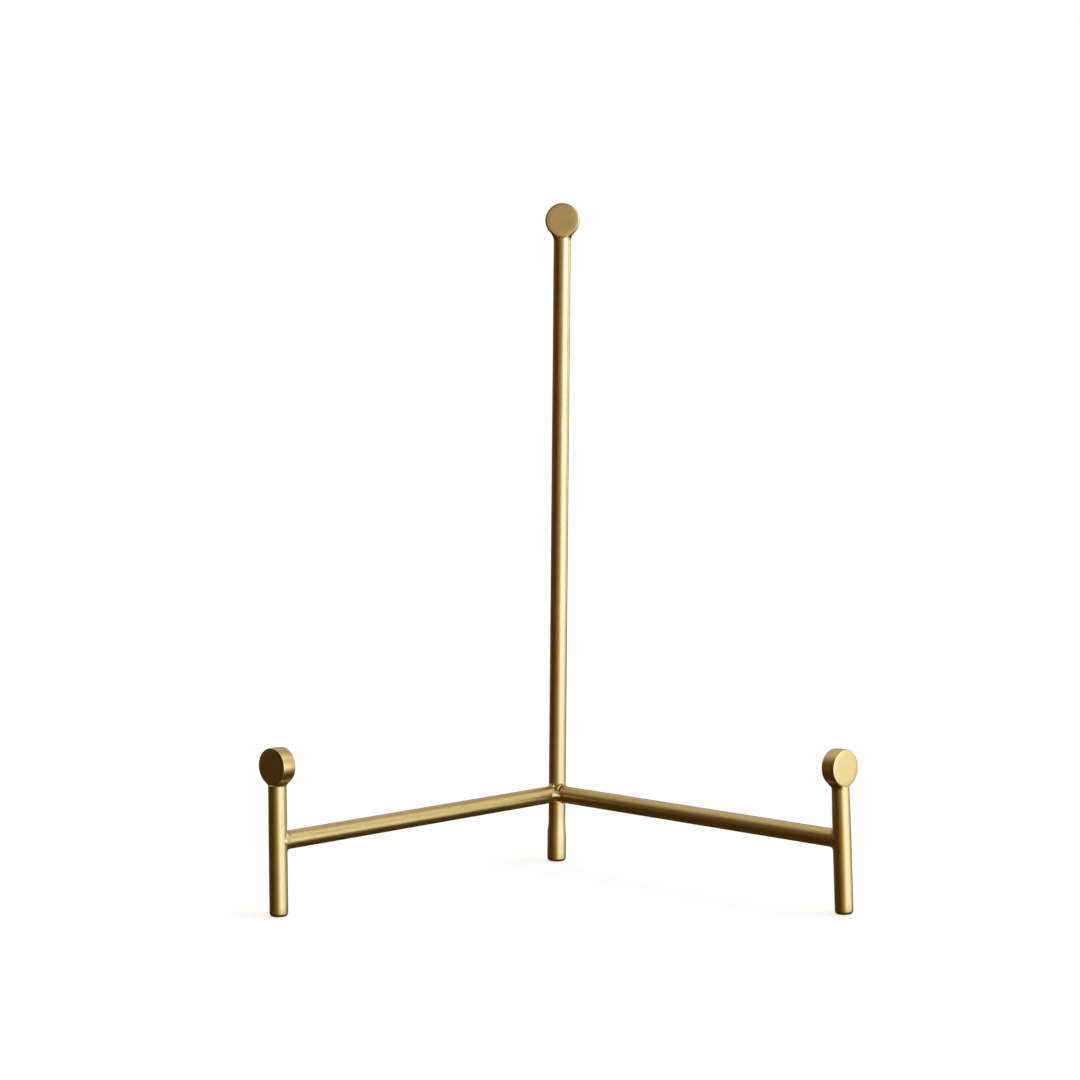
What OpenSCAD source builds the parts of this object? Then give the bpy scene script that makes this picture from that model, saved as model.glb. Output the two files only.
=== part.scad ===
// Tabletop display easel welded from solid round bar.
// Two arms spread forward from a tall upright to two short front posts.
// Every bar's upper end carries a small disc, and three bar ends are the feet.
// Frame: +X to the right, -Y to the front, +Z up. The origin is on the table,
// under the middle of the easel's footprint.

/* [Bar stock] */
// Diameter of the round bar
bar_d = 6.35; // [5:0.05:8]
// Rounding of a foot's lower edge
foot_edge_r = 1.2; // [0.4:0.1:2]

/* [Upright] */
// Height of the easel, to the top of the upright's disc
easel_h = 245; // [180:1:320]
// Lean of the upright towards +X, in degrees
upright_lean = 0.7; // [0:0.1:2]
// Diameter of the upright's foot, where the bar is upset
rear_foot_d = 7.05; // [6.4:0.05:9]
// Height of the upset stretch
rear_foot_h = 9; // [6:0.5:12]
// Height over which it tapers back to the bar
rear_foot_taper = 4.5; // [2:0.5:8]

/* [Arms and front posts] */
// Length of an arm between the axes it joins
arm_len = 141.8; // [110:0.1:180]
// Angle of an arm from straight ahead, in degrees
arm_angle = 41.9; // [35:0.1:50]
// Height of the arms' axes above the table
arm_h = 25.3; // [20:0.1:35]
// Height of the left front post, to the top of its disc
left_post_h = 57.1; // [48:0.1:80]
// Height of the right front post, to the top of its disc
right_post_h = 55.9; // [48:0.1:80]
// Lean of the left post towards +X, in degrees
left_post_lean = -0.2; // [-2:0.1:2]
// Lean of the right post towards +X, in degrees
right_post_lean = -1.9; // [-2:0.1:2]

/* [Discs] */
// Diameter of a disc
disc_d = 12.7; // [10:0.1:16]
// Thickness of a disc
disc_t = 5.5; // [4:0.1:6]
// Rounding of a disc's edges
disc_edge_r = 0.4; // [0.2:0.05:1]

/* [Welds] */
// Radius of the hollow fillet between a bar and its disc
disc_weld_r = 4; // [2:0.1:6]
// Thickness of that fillet, from front to back
disc_weld_t = 4.4; // [3:0.1:5]
// Radius of the hollow fillet round an arm's end
arm_weld_r = 1.6; // [0.8:0.1:2.5]
// How far an arm's fillet stands proud at the bars' sides
weld_side = 0.35; // [0.1:0.05:0.6]
// Length of the run of weld in the notch between the arms
seam_len = 4.4; // [3:0.1:6]
// Width of that run of weld
seam_w = 1.2; // [0.6:0.1:2]

/* [Hidden] */
$fn = 160;
LEFT = -1;
RIGHT = 1;
bar_r = bar_d / 2;
disc_r = disc_d / 2;
rear_foot_r = rear_foot_d / 2;
post_x = arm_len * sin(arm_angle);
post_y = arm_len * cos(arm_angle);
// A weld's feather edge ends in a lip this thick, so no edge is a knife edge
lip = 0.05;
// A coped arm's side horns are trimmed this far from the axis they would reach
horn_trim = 0.6;
// How far a front disc reaches ahead of its post's axis
disc_reach = (disc_r - disc_edge_r) * sin(arm_angle)
    + (disc_t / 2 - disc_edge_r) * cos(arm_angle) + disc_edge_r;
// Moves the upright back, so that the footprint is centred on the origin
upright_y = (post_y + disc_reach - rear_foot_r) / 2;
// Longer than any piece, for cutting tools
far = 2 * easel_h;

function lean_of(side) = side == LEFT ? left_post_lean : right_post_lean;
function height_of(side) = side == LEFT ? left_post_h : right_post_h;

brass_bar = [0.72, 0.56, 0.27];
brass_disc = [0.68, 0.53, 0.28];
brass_weld = [0.60, 0.45, 0.20];

// ---- placing ----

// Leans a bar about the point where the arms' axes reach it
module leaning(lean) {
    translate([0, 0, arm_h])
        rotate([0, lean, 0])
            translate([0, 0, -arm_h])
                children();
}

module at_upright() {
    translate([0, upright_y, 0])
        leaning(upright_lean)
            children();
}

module at_post(side) {
    translate([side * post_x, upright_y - post_y, 0])
        leaning(lean_of(side))
            children();
}

// Turns a front disc to face outwards along its arm
module facing_out(side) {
    rotate([0, 0, side * arm_angle])
        children();
}

// Turns +Z along an arm, from the upright's axis towards its post's axis
module along_arm(side) {
    translate([0, upright_y, arm_h])
        rotate([0, 0, -side * (90 - arm_angle)])
            rotate([0, side * 90, 0])
                children();
}

// The same line, starting at the post
module back_along_arm(side) {
    along_arm(side)
        translate([0, 0, arm_len])
            rotate([180, 0, 0])
                children();
}

// Everything on one side of the plane in which the arms meet
module half_space(side) {
    translate([side * far / 2, 0, 0])
        cube([far, 2 * far, 2 * far], center = true);
}

module above_table() {
    translate([0, 0, far / 2])
        cube([2 * far, 2 * far, far], center = true);
}

// ---- shapes ----

// Bar with a rounded lower edge, a little long so that a lean still leaves it a flat sole
module bar(h, lean) {
    sole = bar_r * tan(abs(lean));
    rotate_extrude() {
        translate([0, foot_edge_r - sole])
            square([bar_r, h + sole - foot_edge_r]);
        translate([0, -sole])
            square([bar_r - foot_edge_r, foot_edge_r]);
        translate([bar_r - foot_edge_r, foot_edge_r - sole])
            circle(r = foot_edge_r);
    }
}

// Endless bar on the same axis, for cutting a cope
module bar_space() {
    translate([0, 0, -far / 2])
        cylinder(r = bar_r, h = far);
}

// The thicker foot of the upright, with its taper
module upset_foot(lean) {
    sole = rear_foot_r * tan(abs(lean));
    rotate_extrude() {
        translate([0, foot_edge_r - sole])
            square([rear_foot_r, rear_foot_h + sole - foot_edge_r]);
        translate([0, -sole])
            square([rear_foot_r - foot_edge_r, foot_edge_r]);
        translate([rear_foot_r - foot_edge_r, foot_edge_r - sole])
            circle(r = foot_edge_r);
        translate([0, rear_foot_h])
            polygon([[0, 0], [rear_foot_r, 0], [bar_r, rear_foot_taper], [0, rear_foot_taper]]);
    }
}

// Disc on its rim, its flat faces towards +Y and -Y, its top at height top
module disc(top) {
    flat_r = disc_r - disc_edge_r;
    translate([0, 0, top - disc_r])
        rotate([90, 0, 0])
            rotate_extrude() {
                translate([0, -disc_t / 2])
                    square([flat_r, disc_t]);
                translate([0, disc_edge_r - disc_t / 2])
                    square([disc_r, disc_t - 2 * disc_edge_r]);
                for (end = [-1, 1])
                    translate([flat_r, end * (disc_t / 2 - disc_edge_r)])
                        circle(r = disc_edge_r);
            }
}

// Endless cylinder through the disc, for coping the bar's end to its rim
module disc_space(top) {
    translate([0, 0, top - disc_r])
        rotate([90, 0, 0])
            cylinder(r = disc_r, h = far, center = true);
}

// Hollow fillets in the two corners between a bar and the disc on it
module disc_fillet(top) {
    run = bar_r + lip + disc_weld_r;
    drop = sqrt(pow(disc_r + disc_weld_r, 2) - pow(run, 2));
    rise = disc_weld_r * drop / (disc_r + disc_weld_r);
    difference() {
        translate([0, 0, top - disc_r])
            rotate([90, 0, 0])
                linear_extrude(disc_weld_t, center = true)
                    difference() {
                        translate([-run, -drop])
                            square([2 * run, rise]);
                        for (side = [LEFT, RIGHT])
                            translate([side * run, -drop])
                                circle(r = disc_weld_r);
                        circle(r = disc_r);
                    }
        bar_space();
    }
}

// Hollow fillet round an arm that ends on another bar at z = 0
module arm_fillet() {
    edge = bar_r + lip + arm_weld_r;
    intersection() {
        rotate_extrude()
            difference() {
                translate([bar_r, horn_trim])
                    square([edge - bar_r, edge - horn_trim]);
                translate([edge, edge])
                    circle(r = arm_weld_r);
            }
        cube([far, 2 * (bar_r + weld_side), far], center = true);
    }
}

// A coin on edge with a rounded rim: the outline of the run of weld between the arms
module seam_coin() {
    flat_r = (seam_len - seam_w) / 2;
    rotate([0, 90, 0])
        rotate_extrude() {
            translate([0, -seam_w / 2])
                square([flat_r, seam_w]);
            translate([flat_r, 0])
                circle(r = seam_w / 2);
        }
}

// ---- cutting tools that neighbouring pieces share ----

module arm_space(side) {
    along_arm(side)
        cylinder(r = bar_r, h = arm_len);
}

module apex_fillet(side) {
    intersection() {
        along_arm(side)
            arm_fillet();
        half_space(side);
    }
}

// ---- the pieces ----

module upright_rod() {
    color(brass_bar)
        difference() {
            intersection() {
                at_upright() {
                    bar(easel_h - disc_r, upright_lean);
                    upset_foot(upright_lean);
                }
                above_table();
            }
            at_upright()
                disc_space(easel_h);
        }
}

module upright_disc() {
    color(brass_disc)
        at_upright()
            disc(easel_h);
}

module upright_disc_weld() {
    color(brass_weld)
        at_upright()
            disc_fillet(easel_h);
}

module arm(side) {
    color(brass_bar)
        difference() {
            intersection() {
                along_arm(side)
                    translate([0, 0, horn_trim])
                        cylinder(r = bar_r, h = arm_len - 2 * horn_trim);
                half_space(side);
            }
            at_upright()
                bar_space();
            at_post(side)
                bar_space();
        }
}

module post(side) {
    color(brass_bar)
        difference() {
            intersection() {
                at_post(side)
                    bar(height_of(side) - disc_r, lean_of(side));
                above_table();
            }
            at_post(side)
                facing_out(side)
                    disc_space(height_of(side));
        }
}

module post_disc(side) {
    color(brass_disc)
        at_post(side)
            facing_out(side)
                disc(height_of(side));
}

module post_disc_weld(side) {
    color(brass_weld)
        at_post(side)
            facing_out(side)
                disc_fillet(height_of(side));
}

module arm_weld(side) {
    color(brass_weld)
        difference() {
            back_along_arm(side)
                arm_fillet();
            at_post(side)
                bar_space();
        }
}

module apex_weld(side) {
    color(brass_weld)
        difference() {
            apex_fillet(side);
            at_upright()
                bar_space();
        }
}

// The run of weld that fills the notch where the two arms meet ahead of the upright
module arm_seam_weld() {
    color(brass_weld)
        difference() {
            translate([0, upright_y - bar_r / sin(arm_angle) + 1, arm_h + bar_r / 2])
                seam_coin();
            at_upright()
                bar_space();
            for (side = [LEFT, RIGHT]) {
                arm_space(side);
                apex_fillet(side);
            }
        }
}

upright_rod();
upright_disc();
upright_disc_weld();
arm(LEFT);  // left_arm
post(LEFT);  // left_post
post_disc(LEFT);  // left_disc
post_disc_weld(LEFT);  // left_disc_weld
arm(RIGHT);  // right_arm
post(RIGHT);  // right_post
post_disc(RIGHT);  // right_disc
post_disc_weld(RIGHT);  // right_disc_weld
arm_weld(LEFT);  // left_arm_weld
arm_weld(RIGHT);  // right_arm_weld
apex_weld(LEFT);  // left_apex_weld
apex_weld(RIGHT);  // right_apex_weld
arm_seam_weld();
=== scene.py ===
"""Display easel in satin brass: three round bars, three discs and the welds between them.

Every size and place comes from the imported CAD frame. The meshes built here stand for the plain
CAD solids and add what hand work leaves: eased edges, crowned rims, hollow fillets, filed feet.
Lengths are in metres; MM turns a number of millimetres into metres.
"""

import math

import bmesh
import bpy
from mathutils import Matrix, Vector, noise


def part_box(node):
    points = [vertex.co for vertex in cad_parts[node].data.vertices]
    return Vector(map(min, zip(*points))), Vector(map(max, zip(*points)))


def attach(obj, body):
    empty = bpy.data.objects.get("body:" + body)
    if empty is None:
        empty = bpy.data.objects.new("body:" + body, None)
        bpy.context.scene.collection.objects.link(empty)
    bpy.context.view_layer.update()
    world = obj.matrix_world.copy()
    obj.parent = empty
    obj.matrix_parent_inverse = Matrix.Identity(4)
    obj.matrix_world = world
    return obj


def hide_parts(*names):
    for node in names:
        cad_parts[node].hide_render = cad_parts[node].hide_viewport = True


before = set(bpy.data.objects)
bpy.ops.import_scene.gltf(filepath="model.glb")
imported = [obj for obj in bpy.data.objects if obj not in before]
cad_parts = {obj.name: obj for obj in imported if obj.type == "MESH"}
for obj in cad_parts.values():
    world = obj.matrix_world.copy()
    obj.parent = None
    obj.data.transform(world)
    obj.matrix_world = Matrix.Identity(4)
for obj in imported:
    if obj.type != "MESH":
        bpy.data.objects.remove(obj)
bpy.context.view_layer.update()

MM = 0.001
UP = Vector((0, 0, 1))
FRONT = Vector((0, -1, 0))
LEFT, RIGHT = -1, 1
SIDE_NAMES = {LEFT: "left", RIGHT: "right"}

# ---- sizes and places read from the frame ----


def centre(node):
    lo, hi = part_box(node)
    return (lo + hi) / 2


def extent(node):
    lo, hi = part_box(node)
    return hi - lo


BAR_R = extent("left_arm").z / 2
ARM_Z = centre("left_arm").z
DISC_R = extent("upright_disc").z / 2
DISC_T = extent("upright_disc").y
REAR_FOOT_R = extent("upright_rod").y / 2


def upright_foot():
    lo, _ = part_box("upright_rod")
    return Vector((lo.x + REAR_FOOT_R, centre("upright_rod").y, 0))


def post_foot(side):
    node = SIDE_NAMES[side] + "_post"
    return Vector((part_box(node)[1].x - BAR_R, centre(node).y, 0))


def at_arm_height(foot, top):
    """The point of a bar's axis that lies level with the arms."""
    return foot.lerp(top, ARM_Z / top.z)


UPRIGHT_FOOT = upright_foot()
UPRIGHT_TOP = centre("upright_disc")
HUB = at_arm_height(UPRIGHT_FOOT, UPRIGHT_TOP)
POST_FOOT = {side: post_foot(side) for side in (LEFT, RIGHT)}
POST_TOP = {side: centre(SIDE_NAMES[side] + "_disc") for side in (LEFT, RIGHT)}
POST_JOINT = {side: at_arm_height(POST_FOOT[side], POST_TOP[side]) for side in (LEFT, RIGHT)}
ARM_DIR = {side: (POST_JOINT[side] - HUB).normalized() for side in (LEFT, RIGHT)}
# Half the angle between the two arms
HALF_SPREAD = ARM_DIR[LEFT].angle(ARM_DIR[RIGHT]) / 2

# ---- small helpers ----


def smooth(a, b, x):
    """0 at a, 1 at b, with a smooth turn between them."""
    t = min(1.0, max(0.0, (x - a) / (b - a)))
    return t * t * (3 - 2 * t)


def mix(a, b, t):
    return a + (b - a) * t


def turns(count):
    return [2 * math.pi * i / count for i in range(count)]


def wobble(x, y, z):
    """Smooth noise from -1 to 1 that is the same each run."""
    return noise.noise(Vector((x, y, z)))


def axes(origin, z_axis, front):
    """A local frame: Z along z_axis, and -Y as near to front as it can be."""
    z = z_axis.normalized()
    y = -(front - z * front.dot(z)).normalized()
    x = y.cross(z)
    m = Matrix((x, y, z)).transposed().to_4x4()
    m.translation = origin
    return m


def skin(name, shells, place=None, crease=None):
    """One mesh from several shells. A shell is (rings, wraps): equal rings of points, either
    wrapped into a loop or closed at both ends with a fan. Edges that turn by more than crease
    are kept sharp."""
    bm = bmesh.new()
    for rings, wraps in shells:
        verts = [[bm.verts.new(p) for p in ring] for ring in rings]
        pairs = list(zip(verts, verts[1:] + verts[:1] if wraps else verts[1:]))
        for low, high in pairs:
            for i in range(len(low)):
                j = (i + 1) % len(low)
                bm.faces.new((low[i], low[j], high[j], high[i]))
        if not wraps:
            for ring in (verts[0], verts[-1]):
                hub = bm.verts.new(sum((v.co for v in ring), Vector()) / len(ring))
                for i in range(len(ring)):
                    bm.faces.new((ring[i], ring[(i + 1) % len(ring)], hub))
    bmesh.ops.recalc_face_normals(bm, faces=bm.faces)
    for face in bm.faces:
        face.smooth = True
    mesh = bpy.data.meshes.new(name)
    bm.to_mesh(mesh)
    bm.free()
    if crease:
        mesh.set_sharp_from_angle(angle=crease)
    piece = bpy.data.objects.new(name, mesh)
    bpy.context.scene.collection.objects.link(piece)
    if place is not None:
        piece.matrix_world = place
    return piece


def finish_piece(piece, material, node):
    piece.data.materials.append(material)
    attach(piece, "root")
    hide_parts(node)
    return piece


# ---- bars ----

BAR_SIDES = 96
# Spacing of the rings along a bar
RING_STEP = 2.5 * MM
# How far hand finishing has taken a bar below its full radius, and the length of its waves
FINISH_DEPTH = 0.035 * MM
WAVE_LEN = 17 * MM
# Radius of the eased edge round a foot's sole, and the rings that make it
FOOT_EDGE = 1.2 * MM
FOOT_STEPS = 7
# A bar's end stands this far inside what it is welded to, which hides it
TUCK = 0.3 * MM
# Where the cope starts below the disc's rim, then its rings in millimetres below the rim
COPE_LEN = 3.5 * MM
COPE_RINGS = (2.8, 2.0, 1.4, 1.0, 0.7, 0.45, 0.3, 0.15, 0.05, -0.1, -TUCK / MM)
# The cope follows the rim over this share of the bar's width
COPE_SHARE = 0.98
# Half the thickness of the weld under a disc, which lies flush with the disc's faces
NECK_DEPTH = 0.484 * DISC_T
# A bar's front is eased down to that over EASE_LEN, from EASE_INSET inside the disc's rim
EASE_LEN = 0.5 * MM
EASE_INSET = 0.1 * MM
# Keeps the bar inside the weld under a disc, and the weld inside the bar further down
FLUSH_GAP = 0.02 * MM


def finished(radius, angle, z, seed):
    """The radius after hand finishing: a shallow, slow waviness that never adds metal."""
    w = wobble(1.4 * math.cos(angle) + seed, 1.4 * math.sin(angle), z / WAVE_LEN + seed)
    return radius - FINISH_DEPTH * (0.5 + 0.5 * w)


def front_depth(drop, radius):
    """Depth of the front from the middle plane, drop below the disc's centre."""
    t = min(1.0, max(0.0, (drop - DISC_R + EASE_INSET) / EASE_LEN))
    return mix(NECK_DEPTH, radius, math.sqrt(1 - (1 - t) ** 2))


def foot_rings(radius):
    """(radius, height) pairs for a flat sole and its eased edge."""
    flat = radius - FOOT_EDGE
    rings = [(flat * share, 0.0) for share in (0.35, 0.7, 1.0)]
    for k in range(1, FOOT_STEPS + 1):
        a = math.radians(90) * k / FOOT_STEPS
        rings.append((flat + FOOT_EDGE * math.sin(a), FOOT_EDGE * (1 - math.cos(a))))
    return rings


def standing_bar(name, foot, top, front, radius_at, seed):
    """A bar from its sole on the table to the disc at its top, coped to the disc's rim.
    radius_at(angle, height) gives its outline."""
    place = axes(foot, top - foot, front)
    length = (top - foot).length
    base = radius_at(0, 0)

    def point(a, z, share=1.0, coped=False):
        r = finished(radius_at(a, z), a, z, seed) * share
        x, y = r * math.cos(a), r * math.sin(a)
        if coped:
            deepest = front_depth(length - z, r) - FLUSH_GAP
            y = max(-deepest, min(deepest, y))
        return Vector((x, y, z))

    def rim(a):
        """Height at which this line of the bar meets the disc's rim."""
        x = base * math.cos(a) * COPE_SHARE
        return length - math.sqrt(DISC_R**2 - x**2)

    rings = []
    for r, z in foot_rings(base):
        rings.append([point(a, z, share=r / base) for a in turns(BAR_SIDES)])
    cope_start = length - DISC_R - COPE_LEN
    count = int((cope_start - FOOT_EDGE) / RING_STEP)
    for k in range(1, count + 1):
        z = mix(FOOT_EDGE, cope_start, k / count)
        rings.append([point(a, z) for a in turns(BAR_SIDES)])
    for below in COPE_RINGS:
        rings.append([point(a, rim(a) - below * MM, coped=True) for a in turns(BAR_SIDES)])
    piece = skin(name, [(rings, False)], place)
    flatten_sole(piece)
    return piece


def flatten_sole(piece):
    """A leaning bar still stands flat: nothing goes below the table, and the sole lies on it."""
    sole = 1e-6
    world = piece.matrix_world
    back = world.inverted()
    for v in piece.data.vertices:
        p = world @ v.co
        if p.z < 0 or v.co.z < sole:
            p.z = 0.0
            v.co = back @ p


# ---- discs ----

DISC_SIDES = 128
# Radius of the eased edges: the top disc's are softer than the side discs'
TOP_EDGE, SIDE_EDGE = 0.5 * MM, 0.2 * MM
# The face is flat over this share of its radius, then falls away to FACE_FALL at its edge, at
# a rate set by FALL_CURVE. The rim falls away to RIM_FALL
FLAT_SHARE = 0.62
FACE_FALL = math.radians(5)
FALL_CURVE = 1.6
RIM_FALL = math.radians(4)
# Rings over the flat, the fall, the eased edge and half the rim
FLAT_STEPS, FALL_STEPS, EDGE_STEPS, RIM_STEPS = 5, 8, 8, 7
# Depth of the disc's slight unevenness
DENT_DEPTH = 0.02 * MM


def disc_profile(edge):
    """(radius, depth) pairs from the middle of a face to the middle of the rim, scaled to fit."""
    points = [(0.0, 0.0)]
    steps = []
    flat = FLAT_SHARE * DISC_R
    for _ in range(FLAT_STEPS):
        steps.append((flat / FLAT_STEPS, 0.0))
    band = DISC_R - edge - flat
    for k in range(FALL_STEPS):
        slope = FACE_FALL * ((k + 0.5) / FALL_STEPS) ** FALL_CURVE
        steps.append((band / FALL_STEPS, slope))
    arc = math.radians(90) - FACE_FALL - RIM_FALL
    for k in range(EDGE_STEPS):
        slope = FACE_FALL + arc * (k + 0.5) / EDGE_STEPS
        steps.append((edge * arc / EDGE_STEPS, slope))
    rim = DISC_T / 2 - edge
    for k in range(RIM_STEPS):
        slope = math.radians(90) - RIM_FALL * (1 - (k + 0.5) / RIM_STEPS)
        steps.append((rim / RIM_STEPS, slope))
    for length, slope in steps:
        r, y = points[-1]
        points.append((r + length * math.cos(slope), y + length * math.sin(slope)))
    wide, deep = points[-1]
    return [(r * DISC_R / wide, DISC_T / 2 * (1 - y / deep)) for r, y in points]


def disc(name, foot, top, front, edge, seed):
    place = axes(foot, top - foot, front)
    place.translation = top
    half = disc_profile(edge)[1:]
    profile = [(r, -y) for r, y in half] + [(r, y) for r, y in reversed(half[:-1])]
    rings = []
    for r, y in profile:
        ring = []
        for a in turns(DISC_SIDES):
            dent = DENT_DEPTH * wobble(3 * math.cos(a) + seed, 3 * math.sin(a), y / MM + seed)
            rr = r - (DENT_DEPTH + dent) * smooth(0.5 * DISC_R, DISC_R, r)
            ring.append(Vector((rr * math.cos(a), y, rr * math.sin(a))))
        rings.append(ring)
    return skin(name, [(rings, False)], place)


# ---- weld between a bar and its disc ----

NECK_SIDES = 96
NECK_STEPS = 48
# The hollows run out on the disc's rim near its edges, where the rim has fallen away a little
RIM_R = DISC_R - 0.08 * MM
# The neck's section is round on the bar, and this square inside the disc (a superellipse)
ROUND, SQUARE = 2.0, 7.0
# Below its hollows the neck runs on by NECK_RUN, and sinks into the bar by NECK_SINK
NECK_RUN = 1.2 * MM
NECK_SINK = 0.3 * MM


def neck_half_width(drop, roll, bar_r):
    """Half the width of the neck, drop below the disc's centre, for a rolling-ball hollow."""
    reach = bar_r + roll
    start = math.sqrt((RIM_R + roll) ** 2 - reach**2)
    meets = start * RIM_R / (RIM_R + roll)
    if drop >= start:
        return bar_r - NECK_SINK * smooth(0, 1.5 * MM, drop - start)
    if drop <= meets:
        return reach * RIM_R / (RIM_R + roll) - 0.35 * (meets - drop)
    return reach - math.sqrt(max(0.0, roll**2 - (start - drop) ** 2))


def neck(name, foot, top, front, bar_r, rolls):
    """The hollow fillets in the two corners under a disc, as one waisted block of metal.
    rolls gives the hollows' radii, for -X and for +X."""
    place = axes(foot, top - foot, front)
    place.translation = top
    r = bar_r - FLUSH_GAP
    starts = [math.sqrt((RIM_R + roll) ** 2 - (r + roll) ** 2) for roll in rolls]
    low, high = max(starts) + NECK_RUN, 0.5 * DISC_R
    rings = []
    for k in range(NECK_STEPS + 1):
        drop = mix(low, high, k / NECK_STEPS)
        power = mix(ROUND, SQUARE, smooth(DISC_R + 0.3 * MM, 0.8 * DISC_R, drop))
        depth = front_depth(drop, r) - NECK_SINK * smooth(DISC_R + 0.2 * EASE_LEN, low, drop)
        ring = []
        for a in turns(NECK_SIDES):
            c, s = math.cos(a), math.sin(a)
            w = neck_half_width(drop, rolls[0] if c < 0 else rolls[1], r)
            x = w * math.copysign(abs(c) ** (2 / power), c)
            y = depth * math.copysign(abs(s) ** (2 / power), s)
            ring.append(Vector((x, y, -drop)))
        rings.append(ring)
    return skin(name, [(rings, False)], place)


# ---- collar weld where an arm ends on another bar ----

COLLAR_SIDES = 112
COLLAR_STEPS = 9
# A weld's feather edges lie this far inside the bars
FEATHER = 0.03 * MM
# Where it is hidden they lie deeper by BURIED, and its unseen back is deeper still by EDGE_ROOT
# under its edges and CORNER_ROOT under its corner. All three are in millimetres
BURIED, EDGE_ROOT, CORNER_ROOT = 0.5, 0.7, 0.9
# The feather edges are sharp, so that the hollow keeps its own shading right up to them
WELD_CREASE = math.radians(38)
# How far a weld's legs vary from their mean
UNEVEN = 0.10
# Rounds off the line where two bars of one size meet, at the sides of the arm
SADDLE = 0.012


def bezier(a, b, c, t):
    return a * (1 - t) ** 2 + b * (2 * t * (1 - t)) + c * t * t


def collar(name, joint, arm, post, legs, seed, hidden=None):
    """A run of weld round an arm's end. arm and post are unit vectors away from the joint.
    legs(angle) gives (leg on the arm, leg on the post, raise of the corner); the angle goes
    round the arm from the side e1, through the top. hidden(angle) is 1 where it is buried."""
    e2 = (post - arm * post.dot(arm)).normalized()
    e1 = e2.cross(arm)
    rings = []
    for a in turns(COLLAR_SIDES):
        c, s = math.cos(a), math.sin(a)
        n_arm = e1 * c + e2 * s
        turn = math.asin(max(-1.0, min(1.0, c)))
        reach = BAR_R * math.sqrt(s * s + SADDLE)
        leg_arm, leg_post, lift = legs(a)
        uneven = 1 + UNEVEN * wobble(2.2 * c + seed, 2.2 * s, seed)
        leg_arm, leg_post = leg_arm * uneven, leg_post * (2 - uneven)
        sunk = FEATHER + (hidden(a) * BURIED * MM if hidden else 0.0)
        start = joint + arm * (reach + leg_arm) + n_arm * (BAR_R - sunk)
        around = turn + leg_post * c / BAR_R
        n_post = arm * math.cos(around) + e1 * math.sin(around)
        end = joint + n_post * (BAR_R - sunk) + e2 * (BAR_R * s + leg_post * s)
        corner_post = arm * math.cos(turn) + e1 * math.sin(turn)
        out = (n_arm + corner_post).normalized()
        corner = joint + arm * reach + n_arm * BAR_R + out * (lift - 1.5 * sunk)
        ring = [bezier(start, corner, end, k / COLLAR_STEPS) for k in range(COLLAR_STEPS + 1)]
        ring.append(end - n_post * EDGE_ROOT * MM)
        ring.append(corner - out * (CORNER_ROOT * MM + lift))
        ring.append(start - n_arm * EDGE_ROOT * MM)
        rings.append(ring)
    return skin(name, [(rings, True)], crease=WELD_CREASE)


# ---- arms ----


def arm(name, side, seed):
    """A bar from the hub to its post. Its ends run a little way into what they are welded to."""
    place = axes(HUB, ARM_DIR[side], UP)
    length = (POST_JOINT[side] - HUB).length
    inner = place.inverted().to_3x3() @ (ARM_DIR[-side] - ARM_DIR[side])
    inner = Vector((inner.x, inner.y, 0)).normalized()
    count = int(length / RING_STEP)
    rings = []
    for k in range(count + 1):
        ring = []
        for a in turns(BAR_SIDES):
            spoke = Vector((math.cos(a), math.sin(a), 0))
            inward = BAR_R * spoke.dot(inner)
            level = math.sqrt(max(0.0, BAR_R**2 - inward**2))
            start = max(level, inward / math.tan(HALF_SPREAD)) - TUCK
            end = length - level + TUCK
            z = mix(start, end, k / count)
            ring.append(spoke * finished(BAR_R, a, z, seed) + Vector((0, 0, z)))
        rings.append(ring)
    return skin(name, [(rings, False)], place)


# ---- seam between the arms ----

SEAM_STEPS = 44
WEB_STEPS = 10
# The web runs from this angle below an arm's middle to the same angle above it, in degrees
SEAM_SPAN = 66
# Its legs where it is thinnest, and on each arm where it is fullest, in millimetres
THIN_LEG = 0.8
FULL_LEG = {LEFT: 2.8, RIGHT: 1.6}
# The web's unseen edges lie this deep in the arms, in millimetres
WEB_ROOT = 0.6
# The bead at its top, from the hub, in millimetres
BEAD_LOW, BEAD_HIGH = Vector((-0.4, -5.2, 1.8)), Vector((1.3, -3.1, 4.1))
BEAD_R = 0.52 * MM
BEAD_SIDES = 24
BEAD_STEPS = 16


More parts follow.
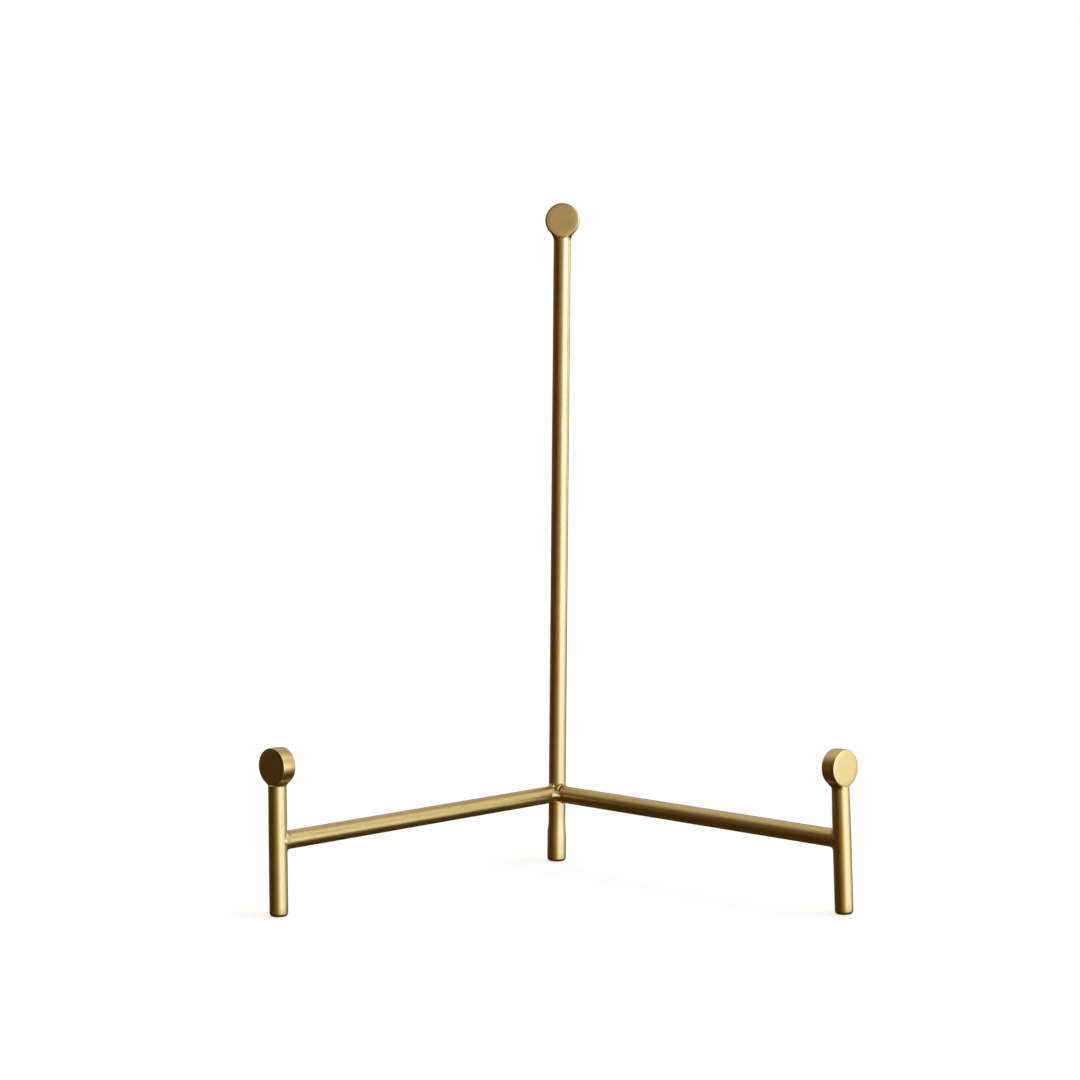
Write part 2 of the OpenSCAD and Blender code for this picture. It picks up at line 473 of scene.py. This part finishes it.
def seam(name):
    """The web of weld in the valley between the arms, and the short bead at its top. Most of the
    metal lies on the left arm, so the web faces a little to the right."""
    inner = {}
    for side in (LEFT, RIGHT):
        across = ARM_DIR[-side]
        inner[side] = (across - ARM_DIR[side] * across.dot(ARM_DIR[side])).normalized()
    front = (ARM_DIR[LEFT] + ARM_DIR[RIGHT]).normalized()
    rings = []
    for k in range(SEAM_STEPS + 1):
        a = math.radians(mix(-SEAM_SPAN, SEAM_SPAN, k / SEAM_STEPS))
        b, h = BAR_R * math.cos(a), BAR_R * math.sin(a)
        meets = b / math.tan(HALF_SPREAD)
        sunk = FEATHER + BURIED * MM * smooth(math.radians(50), math.radians(64), abs(a))
        over = smooth(math.radians(-45), math.radians(-5), a)
        full = over * (1 - smooth(math.radians(8), math.radians(58), a))
        ends = []
        for side in (LEFT, RIGHT):
            n = inner[side] * math.cos(a) + UP * math.sin(a)
            leg = mix(THIN_LEG, FULL_LEG[side], full) * MM
            run = leg * (1 + UNEVEN * wobble(side * 3.1, 2.0 * a, 0.4))
            ends.append((HUB + ARM_DIR[side] * (meets + run) + n * (BAR_R - sunk), n))
        (start, n0), (end, n1) = ends
        valley = HUB + front * (b / math.sin(HALF_SPREAD) - sunk) + UP * h
        corner = valley.lerp((start + end) / 2, 0.7 * over)
        ring = [bezier(start, corner, end, t / WEB_STEPS) for t in range(WEB_STEPS + 1)]
        ring.append(end - n1 * WEB_ROOT * MM)
        ring.append(valley - front * CORNER_ROOT * MM)
        ring.append(start - n0 * WEB_ROOT * MM)
        rings.append(ring)
    bead = leaf(HUB + BEAD_LOW * MM, HUB + BEAD_HIGH * MM, BEAD_R, FRONT)
    return skin(name, [(rings, False), (bead, False)], crease=WELD_CREASE)


def leaf(low, high, radius, front):
    """Rings of a pointed bead between two points."""
    m = axes(low, high - low, front)
    length = (high - low).length
    rings = []
    for k in range(1, BEAD_STEPS):
        t = k / BEAD_STEPS
        r = radius * math.sin(math.pi * t) ** 0.75
        ring = []
        for a in turns(BEAD_SIDES):
            ring.append(m @ Vector((r * math.cos(a), 1.1 * r * math.sin(a), t * length)))
        rings.append(ring)
    return rings


# ---- materials ----


class Nodes:
    """Short names for building a node tree."""

    def __init__(self, tree):
        self.tree = tree
        tree.nodes.clear()

    def add(self, kind, **values):
        node = self.tree.nodes.new(kind)
        for key, value in values.items():
            setattr(node, key, value)
        return node

    def link(self, out, into):
        self.tree.links.new(out, into)

    def math(self, operation, a, b=None):
        node = self.add("ShaderNodeMath", operation=operation)
        for socket, value in zip(node.inputs, (a, b)):
            if value is None:
                continue
            if isinstance(value, (int, float)):
                socket.default_value = value
            else:
                self.link(value, socket)
        return node.outputs[0]

    def noise(self, vector, scale, detail, rough):
        node = self.add("ShaderNodeTexNoise")
        node.inputs["Scale"].default_value = scale
        node.inputs["Detail"].default_value = detail
        node.inputs["Roughness"].default_value = rough
        self.link(vector, node.inputs["Vector"])
        return node.outputs["Fac"]

    def ramp(self, fac, low, high, to_low, to_high):
        node = self.add("ShaderNodeMapRange")
        for key, value in zip(
            ("From Min", "From Max", "To Min", "To Max"), (low, high, to_low, to_high)
        ):
            node.inputs[key].default_value = value
        self.link(fac, node.inputs["Value"])
        return node.outputs["Result"]

    def blend(self, fac, a, b):
        node = self.add("ShaderNodeMix", data_type="RGBA")
        self.link(fac, node.inputs[0])
        for socket, value in ((node.inputs[6], a), (node.inputs[7], b)):
            if isinstance(value, tuple):
                socket.default_value = value + (1.0,)
            else:
                self.link(value, socket)
        return node.outputs[2]


BRASS = (0.90, 0.550, 0.150)
BRASS_DEEP = (0.80, 0.460, 0.110)
BRASS_PALE = (0.95, 0.630, 0.210)
# A thin clear lacquer over the metal
LACQUER_IOR = 1.65
LACQUER_ROUGHNESS = 0.33
# The brushed lines run along local Z, where the noise is drawn out by this share
LINE_STRETCH = 0.02
# Noise scales, per metre
LINE_SCALE, CLOUD_SCALE, PATCH_SCALE, PIT_SCALE = 5200, 70, 420, 2600
# Bump heights, in millimetres
LINE_BUMP, PIT_BUMP, PATCH_BUMP = 0.0010, 0.0012, 0.004


def brass(name, roughness, brushed, grain, mottle):
    """Satin brass. brushed is how strongly the fine lines show along local Z, grain the depth
    of the small pits, mottle how much the tone varies."""
    material = bpy.data.materials.new(name)
    material.use_nodes = True
    n = Nodes(material.node_tree)
    out = n.add("ShaderNodeOutputMaterial")
    shader = n.add("ShaderNodeBsdfPrincipled")
    n.link(shader.outputs[0], out.inputs[0])
    shader.inputs["Metallic"].default_value = 1.0
    shader.inputs["Coat Weight"].default_value = 1.0
    shader.inputs["Coat IOR"].default_value = LACQUER_IOR
    shader.inputs["Coat Roughness"].default_value = LACQUER_ROUGHNESS
    where = n.add("ShaderNodeTexCoord").outputs["Object"]
    stretched = n.add("ShaderNodeMapping")
    stretched.inputs["Scale"].default_value = (1.0, 1.0, LINE_STRETCH)
    n.link(where, stretched.inputs["Vector"])

    lines = n.noise(stretched.outputs[0], LINE_SCALE, 2.0, 0.6)
    clouds = n.noise(where, CLOUD_SCALE, 3.0, 0.55)
    patches = n.noise(where, PATCH_SCALE, 4.0, 0.6)
    pits = n.noise(where, PIT_SCALE, 2.0, 0.5)

    tone = n.blend(n.ramp(clouds, 0.35, 0.7, 0.0, mottle), BRASS, BRASS_DEEP)
    tone = n.blend(n.ramp(patches, 0.5, 0.75, 0.0, mottle), tone, BRASS_PALE)
    n.link(tone, shader.inputs["Base Color"])

    rough = n.math("ADD", n.ramp(patches, 0.3, 0.7, -0.03, 0.04), roughness)
    rough = n.math("ADD", rough, n.ramp(lines, 0.3, 0.7, -0.04 * brushed, 0.04 * brushed))
    n.link(rough, shader.inputs["Roughness"])

    height = n.math("MULTIPLY", lines, LINE_BUMP * brushed)
    height = n.math("ADD", height, n.math("MULTIPLY", pits, PIT_BUMP * grain))
    height = n.math("ADD", height, n.math("MULTIPLY", patches, PATCH_BUMP * grain))
    bump = n.add("ShaderNodeBump")
    bump.inputs["Strength"].default_value = 1.0
    bump.inputs["Distance"].default_value = 1.0 * MM
    n.link(height, bump.inputs["Height"])
    n.link(bump.outputs[0], shader.inputs["Normal"])
    return material


# ---- building ----

# The rear foot keeps its full radius up to this height in millimetres, on its left and on its
# right, and is the bar's size from SWELL_END up
SWELL_FULL = {LEFT: 11.5, RIGHT: 8.0}
SWELL_END = 14.2 * MM


def upright_radius(angle, z):
    """The upright's foot is thicker; the swelling ends lower on the right than on the left."""
    right = 0.5 + 0.5 * math.cos(angle)
    full = mix(SWELL_FULL[LEFT], SWELL_FULL[RIGHT], right) * MM
    return mix(REAR_FOOT_R, BAR_R, smooth(full, SWELL_END, z))


# How much slimmer each front post's radius is just under its disc
SLIMMER = {LEFT: 0.08 * MM, RIGHT: 0.20 * MM}


def post_radius(side, z):
    return BAR_R - SLIMMER[side] * smooth(ARM_Z + 3 * MM, ARM_Z + 22 * MM, z)


BAR_METAL = brass("brass_bar", roughness=0.33, brushed=0.8, grain=0.7, mottle=0.5)
DISC_METAL = brass("brass_disc", roughness=0.32, brushed=0.2, grain=0.4, mottle=0.5)
WELD_METAL = brass("brass_weld", roughness=0.34, brushed=0.0, grain=1.2, mottle=0.8)

# Radius of the two hollows under the upright's disc
UPRIGHT_ROLL = 5.3 * MM


def build_upright():
    foot, top = UPRIGHT_FOOT, UPRIGHT_TOP
    bar = standing_bar("easel_upright", foot, top, FRONT, upright_radius, 1.7)
    finish_piece(bar, BAR_METAL, "upright_rod")
    face = disc("easel_upright_disc", foot, top, FRONT, TOP_EDGE, 4.1)
    finish_piece(face, DISC_METAL, "upright_disc")
    weld = neck("easel_upright_neck", foot, top, FRONT, BAR_R, (UPRIGHT_ROLL, UPRIGHT_ROLL))
    finish_piece(weld, WELD_METAL, "upright_disc_weld")


# Radii of the hollows under each front disc, for its -X and its +X side
NECK_ROLLS = {LEFT: (3.4 * MM, 3.0 * MM), RIGHT: (7.0 * MM, 1.8 * MM)}


def build_post(side):
    word = SIDE_NAMES[side]
    foot, top, front = POST_FOOT[side], POST_TOP[side], ARM_DIR[side]
    bar = standing_bar("easel_%s_post" % word, foot, top, front,
                       lambda angle, z: post_radius(side, z), 5.0 + side)
    finish_piece(bar, BAR_METAL, word + "_post")
    face = disc("easel_%s_disc" % word, foot, top, front, SIDE_EDGE, 8.0 + side)
    finish_piece(face, DISC_METAL, word + "_disc")
    slim = post_radius(side, top.z)
    weld = neck("easel_%s_neck" % word, foot, top, front, slim, NECK_ROLLS[side])
    finish_piece(weld, WELD_METAL, word + "_disc_weld")


# The collars at the posts, in millimetres: legs on the post, legs on the arm with what its sides
# add to them, and how far the corner is raised at the sides
ON_POST_SIDE, ON_POST_TOP, ON_POST_UNDER = 0.4, 1.1, 1.8
ON_ARM_TOP, ON_ARM_UNDER, ON_ARM_SIDE = 1.2, 1.6, 1.1
SIDE_LIFT = 0.3
# Legs of the collars at the upright, on the arm and on the upright, in millimetres
APEX_TOP = {LEFT: (2.1, 1.4), RIGHT: (2.8, 1.7)}
APEX_UNDER = (0.5, 0.3)


def build_arm(side):
    word = SIDE_NAMES[side]
    piece = arm("easel_%s_arm" % word, side, 11.0 + side)
    finish_piece(piece, BAR_METAL, word + "_arm")

    def post_legs(a):
        s = math.sin(a)
        under = 0.5 - 0.5 * s
        on_post = mix(ON_POST_SIDE, mix(ON_POST_TOP, ON_POST_UNDER, under), s * s)
        on_arm = mix(ON_ARM_TOP, ON_ARM_UNDER, under) + ON_ARM_SIDE * (1 - s * s)
        return (on_arm * MM, on_post * MM, SIDE_LIFT * MM * (1 - s * s))

    post_axis = (POST_TOP[side] - POST_FOOT[side]).normalized()
    weld = collar("easel_%s_arm_weld" % word, POST_JOINT[side], -ARM_DIR[side], post_axis,
                  post_legs, 14.0 + side)
    finish_piece(weld, WELD_METAL, word + "_arm_weld")

    def apex_legs(a):
        over = 0.5 + 0.5 * math.sin(a)
        legs = [mix(low, high, over) * MM for low, high in zip(APEX_UNDER, APEX_TOP[side])]
        return (*legs, 0.0)

    def buried(a):
        # e1 of the left arm faces the other arm, and e1 of the right arm faces away from it
        inward = -side * math.cos(a)
        return smooth(0.15, 0.55, inward)

    upright_axis = (UPRIGHT_TOP - UPRIGHT_FOOT).normalized()
    weld = collar("easel_%s_apex_weld" % word, HUB, ARM_DIR[side], upright_axis,
                  apex_legs, 17.0 + side, buried)
    finish_piece(weld, WELD_METAL, word + "_apex_weld")


build_upright()
for side in (LEFT, RIGHT):
    build_post(side)
    build_arm(side)
finish_piece(seam("easel_arm_seam"), WELD_METAL, "arm_seam_weld")

# ---- floor ----

FLOOR_HALF = 6.0
# The floor lies this far under the feet
FLOOR_GAP = 0.05 * MM
FLOOR_TONE = 0.92
# Makes up the difference between the light that falls on the floor and plain white
FLOOR_GLOW = (0.665, 0.628, 0.555)


def build_floor():
    bm = bmesh.new()
    bmesh.ops.create_grid(bm, x_segments=24, y_segments=24, size=FLOOR_HALF)
    mesh = bpy.data.meshes.new("floor")
    bm.to_mesh(mesh)
    bm.free()
    floor = bpy.data.objects.new("floor", mesh)
    bpy.context.scene.collection.objects.link(floor)
    floor.location.z = -FLOOR_GAP
    floor.visible_glossy = False
    material = bpy.data.materials.new("pale_floor")
    material.use_nodes = True
    n = Nodes(material.node_tree)
    out = n.add("ShaderNodeOutputMaterial")
    matt = n.add("ShaderNodeBsdfDiffuse")
    matt.inputs["Color"].default_value = (FLOOR_TONE, FLOOR_TONE, FLOOR_TONE, 1)
    glow = n.add("ShaderNodeEmission")
    glow.inputs["Color"].default_value = FLOOR_GLOW + (1.0,)
    both = n.add("ShaderNodeAddShader")
    n.link(matt.outputs[0], both.inputs[0])
    n.link(glow.outputs[0], both.inputs[1])
    n.link(both.outputs[0], out.inputs[0])
    material.cycles.emission_sampling = "NONE"
    floor.data.materials.append(material)


build_floor()

# ---- light ----

# Soft lights as smooth lobes of the surroundings: azimuth from the camera's side towards the
# right, elevation and spread in degrees, and colour times brightness
LOBES = (
    (45, 8, 14, (1.05, 1.95, 6.60)),  # key softbox, a cool daylight
    (42, -8, 14, (1.00, 1.10, 0.13)),  # its warm lower part
    (48, 24, 13, (0.48, 0.68, 1.22)),  # its top
    (75, 8, 8, (1.37, 2.27, 3.04)),  # its far edge
    (75, -8, 8, (0.90, 1.22, 2.73)),  # the same, lower down
    (92, -6, 9, (1.05, 1.22, 0.93)),  # low lamp on the right
    (120, 8, 8, (2.45, 3.10, 3.40)),  # window on the right, behind
    (90, 45, 14, (1.35, 1.48, 1.35)),  # lamp above on the right
    (180, 45, 31, (0.48, 0.53, 0.58)),  # bright wall behind and above
    (-122, 48, 16, (0.36, 0.37, 0.32)),  # and a part of it on the left
    (15, -8, 31, (0.19, 0.13, 0.00)),  # warm bounce behind the camera
    (15, -8, 8, (0.80, 1.08, 1.06)),  # card behind the camera
    (-15, 8, 14, (0.17, 0.26, 0.23)),  # and a dimmer one beside it
)
# The rest of the room is dim and warm
AMBIENT = (0.038, 0.021, 0.001)
# The white that the camera sees past the floor
BACKGROUND = 1.0


def direction(azimuth, elevation):
    a, e = math.radians(azimuth), math.radians(elevation)
    return Vector((math.sin(a) * math.cos(e), -math.cos(a) * math.cos(e), math.sin(e)))


def build_world():
    world = bpy.data.worlds.new("studio")
    bpy.context.scene.world = world
    world.use_nodes = True
    n = Nodes(world.node_tree)
    out = n.add("ShaderNodeOutputWorld")
    where = n.add("ShaderNodeTexCoord").outputs["Generated"]
    total = None
    for azimuth, elevation, spread, colour in LOBES:
        dot = n.add("ShaderNodeVectorMath", operation="DOT_PRODUCT")
        dot.inputs[1].default_value = direction(azimuth, elevation)
        n.link(where, dot.inputs[0])
        sharp = 1 / math.radians(spread) ** 2
        fall = n.math("MULTIPLY", n.math("SUBTRACT", dot.outputs["Value"], 1.0), sharp)
        lobe = n.add("ShaderNodeVectorMath", operation="SCALE")
        lobe.inputs[0].default_value = colour
        n.link(n.math("EXPONENT", fall), lobe.inputs["Scale"])
        plus = n.add("ShaderNodeVectorMath", operation="ADD")
        n.link(lobe.outputs[0], plus.inputs[0])
        if total is None:
            plus.inputs[1].default_value = AMBIENT
        else:
            n.link(total, plus.inputs[1])
        total = plus.outputs[0]
    studio = n.add("ShaderNodeBackground")
    n.link(total, studio.inputs["Color"])
    white = n.add("ShaderNodeBackground")
    white.inputs["Color"].default_value = (BACKGROUND, BACKGROUND, BACKGROUND, 1)
    choose = n.add("ShaderNodeMixShader")
    n.link(n.add("ShaderNodeLightPath").outputs["Is Camera Ray"], choose.inputs[0])
    n.link(studio.outputs[0], choose.inputs[1])
    n.link(white.outputs[0], choose.inputs[2])
    n.link(choose.outputs[0], out.inputs[0])


build_world()
bpy.context.scene.view_settings.view_transform = "Standard"

# ---- camera ----

CAMERA_PLACE = Vector((-0.009144, -0.96475, 0.17863))
CAMERA_YAW, CAMERA_PITCH, CAMERA_ROLL = -0.003, -0.0572, 0.0035
CAMERA_LENS = 91.39
SENSOR_WIDTH = 36


def build_camera():
    data = bpy.data.cameras.new("camera")
    data.lens = CAMERA_LENS
    data.sensor_width = SENSOR_WIDTH
    camera = bpy.data.objects.new("camera", data)
    bpy.context.scene.collection.objects.link(camera)
    turned = (
        Matrix.Rotation(CAMERA_YAW, 3, "Z")
        @ Matrix.Rotation(CAMERA_PITCH, 3, "X")
        @ Matrix.Rotation(CAMERA_ROLL, 3, "Y")
    )
    right, forward, up = turned.col
    m = Matrix((right, up, -forward)).transposed().to_4x4()
    m.translation = CAMERA_PLACE
    camera.matrix_world = m
    bpy.context.scene.camera = camera


build_camera()
